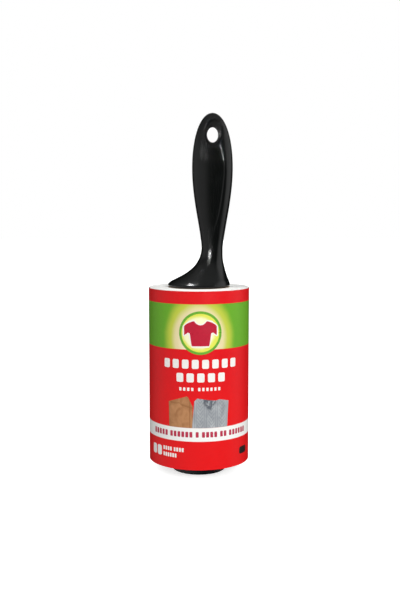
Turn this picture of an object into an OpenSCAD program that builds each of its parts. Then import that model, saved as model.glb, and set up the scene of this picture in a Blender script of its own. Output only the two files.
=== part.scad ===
// Lint roller: a hollow two-shell handle with a fixed spindle, a core-carrying barrel that spins on
// the spindle, and a refill of tear-off adhesive sheets on a paperboard core that pushes onto the barrel.
// Millimetres. +Z runs up the roller axis, z = 0 is the flat end that the roller stands on, and
// the handle's front faces -Y. The handle is the same shape on both sides of its parting plane y = 0.

/* [Refill] */
// Width of one sheet, which is the length of the roll
sheet_w = 101.6; // [96:0.1:104]
// Outer diameter of the full roll, printed wrap included
roll_d = 58.9; // [54:0.1:62]
// Inner diameter of the paperboard core
core_id = 32.8; // [32.8:0.1:33.4]
// Wall of the paperboard core
core_wall = 1.5; // [1:0.1:2]
// Thickness of one sheet as wound
sheet_t = 0.2; // [0.15:0.01:0.25]
// Arc of one outer sheet, in degrees
sheet_arc = 264; // [240:6:300]
// How many outer sheets are separate pieces
loose_sheets = 6; // [2:1:6]
// Thickness of the printed wrap
wrap_t = 0.25; // [0.2:0.01:0.3]
// Width of the glued overlap that closes the wrap, in degrees
wrap_lap = 16; // [8:1:30]

/* [Barrel] */
// How far the end cap stands out below the roll
cap_out = 7; // [6:0.5:8]
// Outer diameter of the end cap
cap_d = 31.9; // [31:0.1:32]
// Outer diameter of the barrel's tube
barrel_d = 30.6; // [30:0.1:30.8]
// Wall of the barrel's tube
barrel_wall = 1.5; // [1.2:0.1:1.8]
// Number of grip ribs round the barrel
rib_count = 8; // [4:4:12]
// Number of windows round the barrel, and of spring tongues
window_count = 4; // [2:1:4]

/* [Handle] */
// Height of the handle above the roll
handle_h = 100; // [96:0.5:106]
// Widest part of the grip
grip_w = 23.5; // [22:0.1:26]
// Depth of the grip, front to back
grip_depth = 16.4; // [15:0.1:18]
// Narrowest part of the neck
neck_w = 12.4; // [12:0.1:13.4]
// Distance of the grip's centreline from the roller axis
grip_offset = 7.8; // [7.2:0.1:8.4]
// Wall of the handle shells
shell_wall = 2; // [1.6:0.1:2.2]
// Width of the hang hole
hole_w = 6.7; // [6:0.1:7]
// Height of the hang hole
hole_h = 9; // [8:0.1:10]

/* [Hidden] */
$fn = 96;
slip = 0.05; // clearance of a pressed spigot
run = 0.06; // radial clearance of a journal in its bearing
gap = 0.3; // axial gap between what turns and what doesn't

// Levels along the axis
roll_z = cap_out;
roll_top = roll_z + sheet_w;
barrel_z = roll_z + 2;
flange_z = roll_top + 0.1;
flange_t = 0.9;
foot_z = roll_top + 0.5;
seat_z = flange_z + flange_t + gap; // roof of the recess in the foot, and the spindle's seat
plate_t = 1.5;
handle_top = roll_top + handle_h;

// Radii, from the axis outwards
near_r = 5;
far_r = 4;
bore_r = barrel_d / 2 - barrel_wall;
spigot_r = bore_r - slip;
ring_r = spigot_r - 2;
core_r = core_id / 2;
stack_r = core_r + core_wall;
wrap_r = roll_d / 2 - wrap_t;
flange_r = 16.9;
plate_r = 13.6;
post_r = 3;
recess_r = flange_r + gap;
foot_r = 18.05;

// Foot and neck of the handle: height above the foot's underside, left edge, right edge, half depth
FOOT = [
    [0, -17.6, 17.6, 17.6],
    [0.5, -foot_r, foot_r, foot_r],
    [1.2, -18, 18.05, 18],
    [1.9, -17.45, 17.9, 17.5],
    [3, -15.9, 17.6, 16.6],
    [5.4, -11.1, 16.6, 14],
    [7.8, -7.1, 15.8, 11.6],
    [10.1, -4.2, 15.15, 9.7],
    [12.4, -2, 14.6, 8.3],
    [14.8, -0.5, 14.1, 7.3],
    [17.1, 0.55, 13.9, 6.7],
    [21.8, grip_offset - 0.15 - neck_w / 2, grip_offset - 0.15 + neck_w / 2, 6.4],
];
neck_z = foot_z + FOOT[len(FOOT) - 1][0];
wide_z = handle_top - 31.5; // level of the grip's widest part
wide_up = handle_top - wide_z;
end_power = 2.12; // fullness of the grip's rounded end
hole_z = handle_top - 12.4;
top_depth = 11.2; // depth that the grip tapers to at its end, before the rounding

// ---- Curves ----

// Slope of column k of a table at row i. The last row is level, so that the neck runs on smoothly.
function slope(t, i, k) = i == len(t) - 1 ? 0 :
    (t[i + 1][k] - t[max(i - 1, 0)][k]) / (t[i + 1][0] - t[max(i - 1, 0)][0]);

function row_below(t, x) = max([for (i = [0:len(t) - 2]) if (t[i][0] <= x || i == 0) i]);

// Cubic curve through column k of a table whose first column rises
function curve(t, x, k) =
    let (i = row_below(t, x), h = t[i + 1][0] - t[i][0], s = (x - t[i][0]) / h)
    t[i][k] * (2 * pow(s, 3) - 3 * pow(s, 2) + 1) + slope(t, i, k) * h * (pow(s, 3) - 2 * pow(s, 2) + s)
    + t[i + 1][k] * (3 * pow(s, 2) - 2 * pow(s, 3)) + slope(t, i + 1, k) * h * (pow(s, 3) - pow(s, 2));

function ease(s) = 3 * pow(s, 2) - 2 * pow(s, 3);

// Share of the way from the neck's size to the grip's widest size
function swell(z) = ease(pow(max(0, min(1, (z - neck_z) / (wide_z - neck_z))), 0.8));

// Share of the grip's width left at a level above its widest part
function end_share(z) = pow(max(0, 1 - pow(max(0, z - wide_z) / wide_up, end_power)), 1 / end_power);

function middle(z) = z < neck_z ? (curve(FOOT, z - foot_z, 1) + curve(FOOT, z - foot_z, 2)) / 2
    : grip_offset - 0.15 * (1 - min(1, (z - neck_z) / 9));
function half_width(z) = z < neck_z ? (curve(FOOT, z - foot_z, 2) - curve(FOOT, z - foot_z, 1)) / 2
    : (neck_w + (grip_w - neck_w) * swell(z)) / 2 * end_share(z);
function half_depth(z) = z < neck_z ? curve(FOOT, z - foot_z, 3)
    : mix(mix(6.4, grip_depth / 2, swell(z)), top_depth / 2, max(0, z - wide_z) / wide_up)
        * pow(end_share(z), 0.62);
function mix(a, b, s) = a + (b - a) * s;

// Side scoop of the grip: a shallow channel under the hang hole whose deep edge is a crease.
// The crease's place is a share of the half width, from the bottom of the scoop to its top.
CREASE = [
    [0, -0.16], [0.06, 0], [0.15, 0.16], [0.25, 0.33], [0.37, 0.42],
    [0.55, 0.49], [0.75, 0.54], [0.88, 0.49], [1, 0.32]
];
scoop_z = neck_z + 5;
scoop_top = hole_z - hole_h / 2 - 1;
scoop_depth = 1.1;
scoop_w = 0.9; // width of the channel, as a share of the half width
function scoop_s(z) = (z - scoop_z) / (scoop_top - scoop_z);
function crease(z) = curve(CREASE, max(0, min(1, scoop_s(z))), 1);
function scoop_fade(z) = ease(min(1, scoop_s(z) * 2.5)) * ease(min(1, (1.12 - scoop_s(z)) / 0.12));
function scoop(z, u) = scoop_s(z) <= 0 || scoop_s(z) >= 1.12 ? 0 :
    let (v = (crease(z) - u) / scoop_w, fade = scoop_fade(z))
    scoop_depth * fade * (v <= 0 ? max(0, 1 + v * 9) : v >= 1 ? 0 : ease(1 - v));

// ---- Handle ----

// One ring of the handle at level z, shrunk by a wall measured square to the surface
side_steps = 14;
function ring(z, wall = 0) =
    let (dz = 0.2, m = middle(z), w = half_width(z), d = half_depth(z),
         lean_l = (middle(z + dz) - half_width(z + dz) - m + w) / dz,
         lean_r = (middle(z + dz) + half_width(z + dz) - m - w) / dz,
         lean_d = (half_depth(z + dz) - d) / dz,
         left = m - w + wall * norm([1, lean_l]), right = m + w - wall * norm([1, lean_r]),
         deep = d - wall * norm([1, lean_d]), c = (left + right) / 2, h = (right - left) / 2)
    [for (side = [-1, 1], i = [0:2 * side_steps - 1])
        let (a = 90 * i / side_steps, u = side * -cos(a), y = side * deep * sin(a))
        [c + h * u, y - (wall ? 0 : side * scoop(z, u) * pow(sin(a), 2)), z]];

// Skin through a list of rings, closed at both ends
module skin(rings) {
    n = len(rings[0]);
    last = (len(rings) - 1) * n;
    polyhedron(
        points = [for (r = rings, p = r) p],
        faces = concat(
            [[for (i = [n - 1:-1:0]) i], [for (i = [0:n - 1]) last + i]],
            [for (j = [0:len(rings) - 2], i = [0:n - 1])
                let (a = j * n + i, b = j * n + (i + 1) % n) [a, b, b + n, a + n]]
        )
    );
}

foot_levels = [0, 0.2, 0.5, 0.85, 1.2, 1.55, 1.9, 2.4, 3, 4, 5.4, 6.6, 7.8, 9, 10.2, 12, 14, 16, 18.6];
grip_levels = [for (i = [0:15]) neck_z + (wide_z - neck_z) * i / 15];
end_levels = [for (a = [9:9:81]) wide_z + wide_up * sin(a)];
end_tip = [wide_z + wide_up * 0.9965, handle_top - 0.02];

module handle_body()
    skin([for (z = concat([for (h = foot_levels) foot_z + h], grip_levels, end_levels, end_tip)) ring(z)]);

// Hollow inside of the two shells, from the spindle plate up to below the hang hole
cavity_z = seat_z + plate_t;
cavity_top = hole_z - hole_h / 2 - 6;
module handle_cavity() {
    skin([for (i = [0:15]) ring(mix(cavity_z, cavity_top, pow(i / 15, 1.5)), shell_wall)]);
    translate([0, 0, foot_z - 1]) cylinder(r = recess_r, h = seat_z - foot_z + 1);
    translate([0, 0, seat_z - 0.5]) cylinder(r = plate_r + slip, h = plate_t + 0.6);
}

// Depth of the grip's plain face at a point
function face_y(x, z) = half_depth(z) * sqrt(max(0, 1 - pow((x - middle(z)) / half_width(z), 2)));

// The hang hole: a straight throat and a bowl-shaped mouth on each face, as ovals. s is 0 at the
// throat and 1 at the mouth's lip. side is -1 in front and 1 behind.
throat = 2.2; // half the length of the straight middle
FLARE = [0, 0.3, 0.55, 0.75, 0.88, 0.96, 1.03];
function oval(s, a) = [
    grip_offset + 0.1 + 0.4 * s + (hole_w / 2 + 1.95 * s) * cos(a),
    hole_z + 0.4 * s + (hole_h / 2 + 3 * s) * sin(a)
];
function bowl_ring(s, side) = [for (a = [0:11.25:359])
    let (p = oval(s, a), y = mix(throat, face_y(p[0], p[1]), 0.42 * s + 0.58 * pow(s, 6)))
    [p[0], side * y, p[1]]];
function outer_ring(side) = [for (a = [0:11.25:359])
    let (p = oval(FLARE[6], a)) [p[0], side * (half_depth(hole_z) + 1.6), p[1]]];
module hang_hole_cut() skin(concat(
    [outer_ring(-1)],
    [for (k = [6:-1:0]) bowl_ring(FLARE[k], -1)],
    [for (k = [0:6]) bowl_ring(FLARE[k], 1)],
    [outer_ring(1)]
));

peg_r = 1.7;
low_peg_z = neck_z + 8;
high_peg_z = neck_z + 34;
module handle_half(side) difference() {
    union() {
        difference() {
            intersection() {
                handle_body();
                translate([-40, side < 0 ? -40 : 0, 0]) cube([80, 40, 300]);
            }
            handle_cavity();
        }
        if (side < 0) translate([grip_offset, 0, high_peg_z]) rotate([90, 0, 0])
            cylinder(r = peg_r + 1.6, h = half_depth(high_peg_z) - 1.2, $fn = 32);
        else for (z = [low_peg_z, high_peg_z]) translate([grip_offset, -2.8, z]) rotate([-90, 0, 0])
            cylinder(r = peg_r, h = half_depth(z) + 1.6, $fn = 24);
    }
    hang_hole_cut();
    if (side < 0) translate([grip_offset, 1, high_peg_z]) rotate([90, 0, 0])
        cylinder(r = peg_r + 0.15, h = 4.2, $fn = 24);
}

module handle_front_shell() color("#1d1d1f") handle_half(-1);
module handle_rear_shell() color("#1d1d1f") handle_half(1);

// ---- Spindle ----

// Fixed moulded axle: a plate and post held between the handle shells, two journals joined by
// a cross-ribbed shaft, and a split snap head that holds the barrel on
near_z = roll_top - 14;
far_top = barrel_z + 19;
hub_z = barrel_z + 7;
hub_h = 11;
shoulder_z = hub_z + hub_h + gap; // underside of the shaft's shoulder over the outer hub
head_top = hub_z - gap;
rib_t = 1.8;
module spindle() color("#2a2a2c") {
    // shaft and root
    difference() {
        union() {
            translate([0, 0, seat_z]) cylinder(r = plate_r, h = plate_t);
            translate([grip_offset, 0, seat_z]) cylinder(r = post_r, h = low_peg_z + 5 - seat_z);
            translate([-near_r, -2, seat_z]) cube([grip_offset + near_r, 4, plate_t + 3]);
            translate([0, 0, near_z]) cylinder(r = near_r, h = seat_z - near_z + 0.5);
            for (a = [0, 90]) rotate([0, 0, a]) translate([-near_r + 0.2, -rib_t / 2, shoulder_z])
                cube([2 * near_r - 0.4, rib_t, near_z + 2 - shoulder_z]);
            for (i = [1:4]) translate([0, 0, far_top + (near_z - far_top) * i / 5 - 0.75])
                cylinder(r = near_r - 0.2, h = 1.5);
            translate([0, 0, head_top - 0.5]) cylinder(r = far_r, h = far_top - head_top + 0.5);
            translate([0, 0, shoulder_z]) cylinder(r = near_r - 0.2, h = 1.5);
            snap_head();
        }
        // slot that lets the head's two prongs close
        translate([-0.9, -10, head_top - 8]) cube([1.8, 20, 8 + 9]);
        // cross hole for the shell's locking peg
        translate([grip_offset, 10, low_peg_z]) rotate([90, 0, 0]) cylinder(r = peg_r + 0.2, h = 20);
    }
}

module snap_head() {
    translate([0, 0, head_top - 1.2]) cylinder(r = far_r + 0.7, h = 1.2);
    translate([0, 0, head_top - 4.2]) cylinder(r1 = far_r - 0.8, r2 = far_r + 0.7, h = 3);
}

// ---- Barrel and its hubs ----

rib_r = core_r - gap;
window_h = 24;
tongue_h = 22;
tongue_w = 8;
slot_w = 1.2;
module barrel() color("#26272a") {
    difference() {
        union() {
            translate([0, 0, barrel_z]) cylinder(d = barrel_d, h = flange_z - barrel_z);
            for (i = [0:rib_count - 1]) rotate([0, 0, 360 * (i + 0.5) / rib_count]) grip_rib();
        }
        translate([0, 0, barrel_z - 1]) cylinder(r = bore_r, h = flange_z - barrel_z + 2);
        for (i = [0:window_count - 1]) rotate([0, 0, 360 * i / window_count]) {
            for (z = [40, 70]) translate([bore_r - 3, -4, barrel_z + z]) cube([8, 8, window_h]);
            tongue_slot();
        }
    }
    // raised pips at the tongues' free ends, which press on the inside of the core
    for (i = [0:window_count - 1]) rotate([0, 0, 360 * i / window_count])
        translate([bore_r + 0.2, 0, tongue_z + tongue_h - 3]) rotate([0, 90, 0])
            cylinder(r1 = 2, r2 = 1.2, h = rib_r - bore_r - 0.2);
}

// Grip rib with a sloped lead-in at the free end
rib_in = bore_r + 0.7;
module grip_rib() rotate([90, 0, 0]) translate([0, 0, -1]) linear_extrude(2)
    polygon([[rib_in, barrel_z + 3], [barrel_d / 2, barrel_z + 3], [rib_r, barrel_z + 9],
             [rib_r, roll_top - 4], [rib_in, roll_top - 4]]);

// Slot on three sides of a spring tongue
tongue_z = barrel_z + 12;
module tongue_slot() translate([bore_r - 3, 0, tongue_z]) {
    for (y = [-tongue_w / 2 - slot_w, tongue_w / 2]) translate([0, y, 0]) cube([8, slot_w, tongue_h]);
    translate([0, -tongue_w / 2 - slot_w, tongue_h]) cube([8, tongue_w + 2 * slot_w, slot_w]);
}

// Bearing hubs: a sleeve, a web and a ring that fits the barrel's bore, turned from one profile, with
// spokes between sleeve and ring
web_t = 1.6;
module spokes(from_r, z, h) for (a = [0:60:300]) rotate([0, 0, a])
    translate([from_r, -0.8, z]) cube([ring_r + 0.5 - from_r, 1.6, h]);

inner_z = roll_top - 9;
inner_sleeve_r = 7.2;
module inner_hub() color("#26272a") {
    rotate_extrude() polygon([
        [near_r + run, inner_z - 1.5], [inner_sleeve_r, inner_z - 1.5],
        [inner_sleeve_r, flange_z], [ring_r, flange_z], [ring_r, inner_z], [spigot_r, inner_z],
        [spigot_r, flange_z], [flange_r, flange_z],
        [flange_r, flange_z + flange_t], [near_r + run, flange_z + flange_t]
    ]);
    spokes(near_r + 1, inner_z, flange_z - inner_z + 0.3);
}

outer_sleeve_r = 6.4;
module outer_hub() color("#26272a") {
    web_z = hub_z + 4;
    rotate_extrude() polygon([
        [far_r + run, hub_z], [outer_sleeve_r, hub_z],
        [outer_sleeve_r, web_z], [ring_r, web_z], [ring_r, hub_z], [spigot_r, hub_z],
        [spigot_r, hub_z + hub_h], [ring_r, hub_z + hub_h],
        [ring_r, web_z + web_t], [outer_sleeve_r, web_z + web_t],
        [outer_sleeve_r, hub_z + hub_h], [far_r + run, hub_z + hub_h]
    ]);
    spokes(far_r + 1, hub_z, hub_h);
}

// Plug for the barrel's free end. Its flat bottom is what the roller stands on.
cap_round = 1.1;
cap_floor = 2.2;
module end_cap() color("#1a1b1e") difference() {
    union() {
        rotate_extrude() {
            square([cap_d / 2 - cap_round, barrel_z - 0.4]);
            translate([0, cap_round]) square([cap_d / 2, barrel_z - 0.4 - cap_round]);
            translate([cap_d / 2 - cap_round, cap_round]) circle(r = cap_round);
            polygon([[0, barrel_z - 0.5], [0, barrel_z], [cap_d / 2 - 0.4, barrel_z],
                     [cap_d / 2, barrel_z - 0.4], [cap_d / 2, barrel_z - 0.5]]);
        }
        cylinder(r = spigot_r, h = barrel_z + 6);
    }
    translate([0, 0, cap_floor]) cylinder(r = ring_r, h = barrel_z + 6);
    // moulded ring groove in the underside
    translate([0, 0, -1]) difference() {
        cylinder(r = 11, h = 1.4);
        translate([0, 0, -1]) cylinder(r = 10.2, h = 4);
    }
}

// ---- Refill ----

module core_tube() color("#b08a5e") translate([0, 0, roll_z]) difference() {
    cylinder(r = stack_r, h = sheet_w);
    translate([0, 0, -1]) cylinder(r = core_r, h = sheet_w + 2);
}

// The loose sheets lie in one spiral that is wound on the stack
turn_step = 6;
spiral_r = wrap_r - 0.05 - sheet_t * (1 + loose_sheets * sheet_arc / 360);
function spiral(a, out = 0) = (spiral_r + sheet_t * (a / 360 + out)) * [cos(a), sin(a)];

module sheet_stack() color("#f4f4f2") translate([0, 0, roll_z]) difference() {
    cylinder(r = spiral_r - 0.06, h = sheet_w);
    translate([0, 0, -1]) cylinder(r = stack_r + 0.02, h = sheet_w + 2);
}

// Sheet i of the spiral, counted from the outermost, which is 1
module sheet(i) {
    from = (loose_sheets - i) * sheet_arc;
    to = from + sheet_arc;
    color("#f7f7f5") translate([0, 0, roll_z]) linear_extrude(sheet_w) polygon(concat(
        [for (a = [from:turn_step:to]) spiral(a)],
        [for (a = [to:-turn_step:from]) spiral(a, 1)]
    ));
}

// Printed paper wrap: one turn, closed by an overlap at the back
wrap_short = 0.2;
lap_from = 125;
module printed_wrap() color("#d8222a") translate([0, 0, roll_z]) {
    difference() {
        cylinder(d = roll_d, h = sheet_w - wrap_short);
        translate([0, 0, -1]) cylinder(r = wrap_r, h = sheet_w + 2);
    }
    rotate([0, 0, lap_from]) rotate_extrude(angle = wrap_lap)
        translate([wrap_r + 0.05, 0]) square([2 * wrap_t - 0.05, sheet_w - wrap_short]);
}

handle_front_shell();
handle_rear_shell();
spindle();
barrel();
inner_hub();
outer_hub();
end_cap();
core_tube();
sheet_stack();
for (i = [1:loose_sheets]) sheet(i);
printed_wrap();
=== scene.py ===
"""Looks of the lint roller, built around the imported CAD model. Lengths here are millimetres until a
mesh is made; the scene is in metres."""

import math

import bmesh
import bpy
import numpy as np
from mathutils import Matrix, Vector
from mathutils.geometry import delaunay_2d_cdt

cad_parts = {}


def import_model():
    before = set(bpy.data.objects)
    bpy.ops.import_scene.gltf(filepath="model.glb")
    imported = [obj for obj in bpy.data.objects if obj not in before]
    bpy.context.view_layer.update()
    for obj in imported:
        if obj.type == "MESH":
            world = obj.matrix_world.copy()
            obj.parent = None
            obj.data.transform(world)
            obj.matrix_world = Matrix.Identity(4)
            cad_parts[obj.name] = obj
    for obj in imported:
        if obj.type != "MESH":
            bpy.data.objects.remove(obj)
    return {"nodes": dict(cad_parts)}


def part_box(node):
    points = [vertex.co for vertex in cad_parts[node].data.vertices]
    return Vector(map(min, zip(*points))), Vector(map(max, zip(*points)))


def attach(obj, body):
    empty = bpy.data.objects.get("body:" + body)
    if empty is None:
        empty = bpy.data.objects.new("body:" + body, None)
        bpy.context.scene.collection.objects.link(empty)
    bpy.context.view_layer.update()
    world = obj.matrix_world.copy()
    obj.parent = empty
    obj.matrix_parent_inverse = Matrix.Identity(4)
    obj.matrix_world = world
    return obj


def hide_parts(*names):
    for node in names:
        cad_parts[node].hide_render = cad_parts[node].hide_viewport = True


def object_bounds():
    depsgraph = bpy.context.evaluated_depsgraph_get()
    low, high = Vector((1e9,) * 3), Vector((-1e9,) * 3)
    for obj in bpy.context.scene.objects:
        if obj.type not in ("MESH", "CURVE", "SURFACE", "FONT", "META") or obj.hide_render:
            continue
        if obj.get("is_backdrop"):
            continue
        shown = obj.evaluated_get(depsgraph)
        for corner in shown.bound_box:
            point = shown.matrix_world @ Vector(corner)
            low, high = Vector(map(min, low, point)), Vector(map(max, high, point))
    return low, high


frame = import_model()
cad_low, cad_high = (v.copy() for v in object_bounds())

MM = 0.001


def cad_box(node):
    low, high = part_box(node)
    return np.array(low) / MM, np.array(high) / MM


# ---------------------------------------------------------------- levels and radii, from the CAD

STACK_LOW, STACK_HIGH = cad_box("sheet_stack")
WRAP_LOW, WRAP_HIGH = cad_box("printed_wrap")
SHELL_LOW, SHELL_HIGH = cad_box("handle_front_shell")

ROLL_BOTTOM, ROLL_TOP = STACK_LOW[2], STACK_HIGH[2]
ROLL_R = WRAP_HIGH[0]
STACK_R = STACK_HIGH[0]
CORE_R = cad_box("core_tube")[1][0]
FOOT_Z = SHELL_LOW[2]
HANDLE_TOP = SHELL_HIGH[2]
# inside the foot, a recess over the hub's flange and above it a pocket for the spindle's plate
SEAT_Z = cad_box("inner_hub")[1][2] + 0.3
PLATE_R, PLATE_T = 13.65, 1.5
RECESS_R = 17.2
WALL = 2.0

# ---------------------------------------------------------------- meshes


def new_object(name, verts, faces):
    """A mesh object in the scene, from vertices in millimetres."""
    mesh = bpy.data.meshes.new(name)
    mesh.from_pydata((np.asarray(verts, dtype=float) * MM).tolist(), [], faces)
    obj = bpy.data.objects.new(name, mesh)
    bpy.context.scene.collection.objects.link(obj)
    return obj


def finish_mesh(mesh, sharp, weld=1e-7, repair=None):
    """Welds a mesh and shades it smooth, except over edges sharper than that angle in degrees."""
    bm = bmesh.new()
    bm.from_mesh(mesh)
    bmesh.ops.remove_doubles(bm, verts=bm.verts, dist=weld)
    if repair:
        repair(bm)
    bmesh.ops.recalc_face_normals(bm, faces=bm.faces)
    bm.to_mesh(mesh)
    bm.free()
    mesh.shade_smooth()
    mesh.set_sharp_from_angle(angle=math.radians(sharp))


def link(name, verts, faces, body, material, slot):
    """A finished piece that rides on that body, in that material. The slot argument is not used."""
    obj = new_object(name, verts, faces)
    obj.data.validate()
    finish_mesh(obj.data, 30)
    obj.data.materials.append(material)
    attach(obj, body)
    return obj


def grid_faces(rows, cols, start=0, wrap=False):
    """Quads of a grid of vertices, row by row. wrap joins the last column to the first."""
    faces = []
    for j in range(rows - 1):
        for i in range(cols if wrap else cols - 1):
            a, b = start + j * cols + i, start + j * cols + (i + 1) % cols
            faces.append((a, b, b + cols, a + cols))
    return faces


def lathe(profile, steps):
    """Turns a closed (r, z) profile about the axis."""
    turn = np.linspace(0, 2 * math.pi, steps, endpoint=False)
    verts = [(r * math.cos(a), r * math.sin(a), z) for r, z in profile + profile[:1] for a in turn]
    return verts, grid_faces(len(profile) + 1, steps, wrap=True)


# ---------------------------------------------------------------- materials


class Nodes:
    """Adds nodes to a tree. Methods that add one return its output socket."""

    def __init__(self, tree, coordinates):
        self.nodes, self.links = tree.nodes, tree.links
        self.place = self.new("TexCoord").outputs[coordinates]

    def new(self, kind, **settings):
        node = self.nodes.new("ShaderNode" + kind)
        for key, value in settings.items():
            setattr(node, key, value)
        return node

    def put(self, socket, value):
        """Links another node's output to a socket, or gives it a constant."""
        if isinstance(value, bpy.types.NodeSocket):
            self.links.new(value, socket)
        else:
            socket.default_value = (*value, 1) if socket.type == "RGBA" else value

    def feed(self, node, *values, **named):
        for key, value in (*enumerate(values), *named.items()):
            self.put(node.inputs[key], value)
        return node.outputs[0]

    def math(self, operation, a, b=0.0):
        return self.feed(self.new("Math", operation=operation), a, b)

    def length(self, a, b):
        return self.math("SQRT", self.math("ADD", self.math("MULTIPLY", a, a), self.math("MULTIPLY", b, b)))

    def between(self, value, low, high, to_low=0.0, to_high=1.0, smooth=False):
        node = self.new("MapRange", interpolation_type="SMOOTHSTEP" if smooth else "LINEAR")
        return self.feed(node, value, low, high, to_low, to_high)

    def axes(self):
        node = self.new("SeparateXYZ")
        self.feed(node, self.place)
        return node.outputs[:]


class Shader(Nodes):
    """One node material, in the object's own coordinates."""

    def __init__(self, name, **sockets):
        self.mat = bpy.data.materials.new(name)
        self.mat.use_nodes = True
        super().__init__(self.mat.node_tree, "Object")
        self.set(**sockets)

    def set(self, **sockets):
        bsdf = self.nodes["Principled BSDF"]
        self.feed(bsdf, **{key.replace("_", " "): value for key, value in sockets.items()})

    def noise(self, scale, detail=3.0, rough=0.5, vector=None, distortion=0.0):
        values = {"Scale": scale, "Detail": detail, "Roughness": rough, "Distortion": distortion}
        return self.feed(self.new("TexNoise"), Vector=vector or self.place, **values)

    def stretched(self, x, y, z):
        return self.feed(self.new("VectorMath", operation="MULTIPLY"), self.place, (x, y, z))

    def vector(self, x, y, z=0.0):
        return self.feed(self.new("CombineXYZ"), x, y, z)

    def blend(self, factor, a, b):
        node = self.new("Mix", data_type="RGBA")
        for k, value in ((0, factor), (6, a), (7, b)):
            self.put(node.inputs[k], value)
        return node.outputs[2]

    def bump(self, height, strength, distance, normal=None):
        """Bump in metres, over another bump where one is given."""
        extra = {"Normal": normal} if normal else {}
        return self.feed(self.new("Bump"), Height=height, Strength=strength, Distance=distance, **extra)

    def polar(self):
        """Angle from the front, positive to the right, then distance from the axis and height in metres."""
        x, y, z = self.axes()
        return self.math("ARCTAN2", x, self.math("MULTIPLY", y, -1.0)), self.length(x, y), z

    def unrolled(self):
        """Arc length from the front and height on the wrap, in millimetres."""
        turn, _, z = self.polar()
        return self.math("MULTIPLY", turn, ROLL_R), self.math("DIVIDE", z, MM)

    def print_over(self, colour, low=0.32, high=0.42, grain=0.2):
        """Finishes a printed material: ink's roughness, from low to high, and the paper's fine grain."""
        self.set(Base_Color=colour, Roughness=self.between(self.noise(350, 3, 0.6), 0.3, 0.7, low, high))
        self.set(Normal=self.bump(self.noise(2200, 2, 0.5), grain, 0.00001))
        return self.mat


def moulded_plastic(name, dark, light, rough, smudging):
    """Black moulded plastic: faint flow mottling, a fine moulded grain and hairline handling marks."""
    s = Shader(name, Specular_IOR_Level=0.5)
    flow = s.noise(90, 4, 0.6)
    s.set(Base_Color=s.blend(s.between(flow, 0.35, 0.7), dark, light))
    marks = s.noise(420, 2, 0.7, s.stretched(1, 1, 0.12), 0.6)
    marks = s.between(marks, 0.62, 0.72)
    smudge = s.between(s.noise(140, 3, 0.55), 0.35, 0.75)
    level = s.math("ADD", s.math("MULTIPLY", smudge, smudging), rough)
    s.set(Roughness=s.math("ADD", level, s.math("MULTIPLY", marks, 0.032)))
    skin = s.bump(s.noise(1500, 2, 0.5), 0.12, 0.00001)
    s.set(Normal=s.bump(s.noise(220, 1, 0.4), 0.15, 0.00003, skin))
    return s.mat


def satin_plastic(name, dark, light):
    """Barrel plastic: satin spark-eroded texture with drag lines along the axis."""
    s = Shader(name, Specular_IOR_Level=0.5)
    s.set(Base_Color=s.blend(s.noise(160, 4, 0.6), dark, light))
    drag = s.noise(700, 3, 0.6, s.stretched(1, 1, 0.05))
    s.set(Roughness=s.between(drag, 0.3, 0.7, 0.34, 0.5))
    s.set(Normal=s.bump(s.noise(2600, 3, 0.6), 0.5, 0.00002))
    return s.mat


def board(name):
    """Kraft paperboard: fibres, the helical seam of the wound ply, and plies on the cut ends."""
    seam_pitch, ply = 0.062, 0.00042
    s = Shader(name, Specular_IOR_Level=0.3)
    turn, far, z = s.polar()
    fibre = s.noise(900, 5, 0.7, s.stretched(1, 1, 0.5))
    cloud = s.noise(60, 3, 0.5)
    kraft = s.blend(fibre, (0.36, 0.235, 0.13), (0.52, 0.37, 0.22))
    kraft = s.blend(s.between(cloud, 0.3, 0.7, 0.0, 0.35), kraft, (0.30, 0.19, 0.10))
    helix = s.math("ADD", s.math("DIVIDE", turn, 2 * math.pi), s.math("DIVIDE", z, seam_pitch))
    helix = s.math("FRACT", helix)
    seam = s.math("LESS_THAN", s.math("ABSOLUTE", s.math("SUBTRACT", helix, 0.5)), 0.004)
    layers = s.math("SINE", s.math("MULTIPLY", far, 2 * math.pi / ply))
    ends = s.between(layers, -1.0, 1.0, 0.0, 0.18)
    colour = s.blend(ends, kraft, (0.22, 0.14, 0.08))
    s.set(Base_Color=s.blend(s.math("MULTIPLY", seam, 0.55), colour, (0.17, 0.10, 0.05)))
    s.set(Roughness=s.between(fibre, 0.3, 0.7, 0.78, 0.95))
    s.set(Normal=s.bump(fibre, 0.5, 0.00006))
    return s.mat


def paper(name):
    """White release-coated paper. On the roll's ends the layers show as fine uneven rings."""
    s = Shader(name, Specular_IOR_Level=0.35)
    _, far, _ = s.polar()
    drift = s.noise(160, 2, 0.5)
    ring = s.noise(1.0, 3, 0.75, s.vector(s.math("MULTIPLY", far, 2600.0), s.math("MULTIPLY", drift, 1.5)))
    s.set(Base_Color=s.blend(s.between(ring, 0.34, 0.70), (0.86, 0.86, 0.84), (0.74, 0.74, 0.72)))
    s.set(Roughness=s.between(s.noise(700, 3, 0.6), 0.3, 0.7, 0.45, 0.62))
    s.set(Normal=s.bump(ring, 0.45, 0.00006))
    return s.mat


def ink(name, colour, other=None):
    """Printed ink over coated paper, with a slight mottle."""
    s = Shader(name, Specular_IOR_Level=0.45)
    other = other or tuple(c * 0.9 for c in colour)
    mottle = s.between(s.noise(800, 4, 0.6), 0.35, 0.7)
    return s.print_over(s.blend(mottle, colour, other), 0.27, 0.40, 0.25)


RED = (0.72, 0.0062, 0.0095)
GREEN = (0.135, 0.385, 0.020)
STRIPE = (0.84, 0.84, 0.81)


def at(height):
    """A level on the roll, from its lower edge."""
    return ROLL_BOTTOM + height


BAND = at(68.9), at(94.2)
STRIPE_BAND = at(16.5), at(24.3)
BADGE_Z = at(78.2)
# ellipse of the band's glow, and the width over which a printed edge blurs
GLOW_Z, GLOW_WIDE, GLOW_TALL = BADGE_Z - 4.0, 21.5, 27.0
EDGE_BLUR = 0.12
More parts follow.
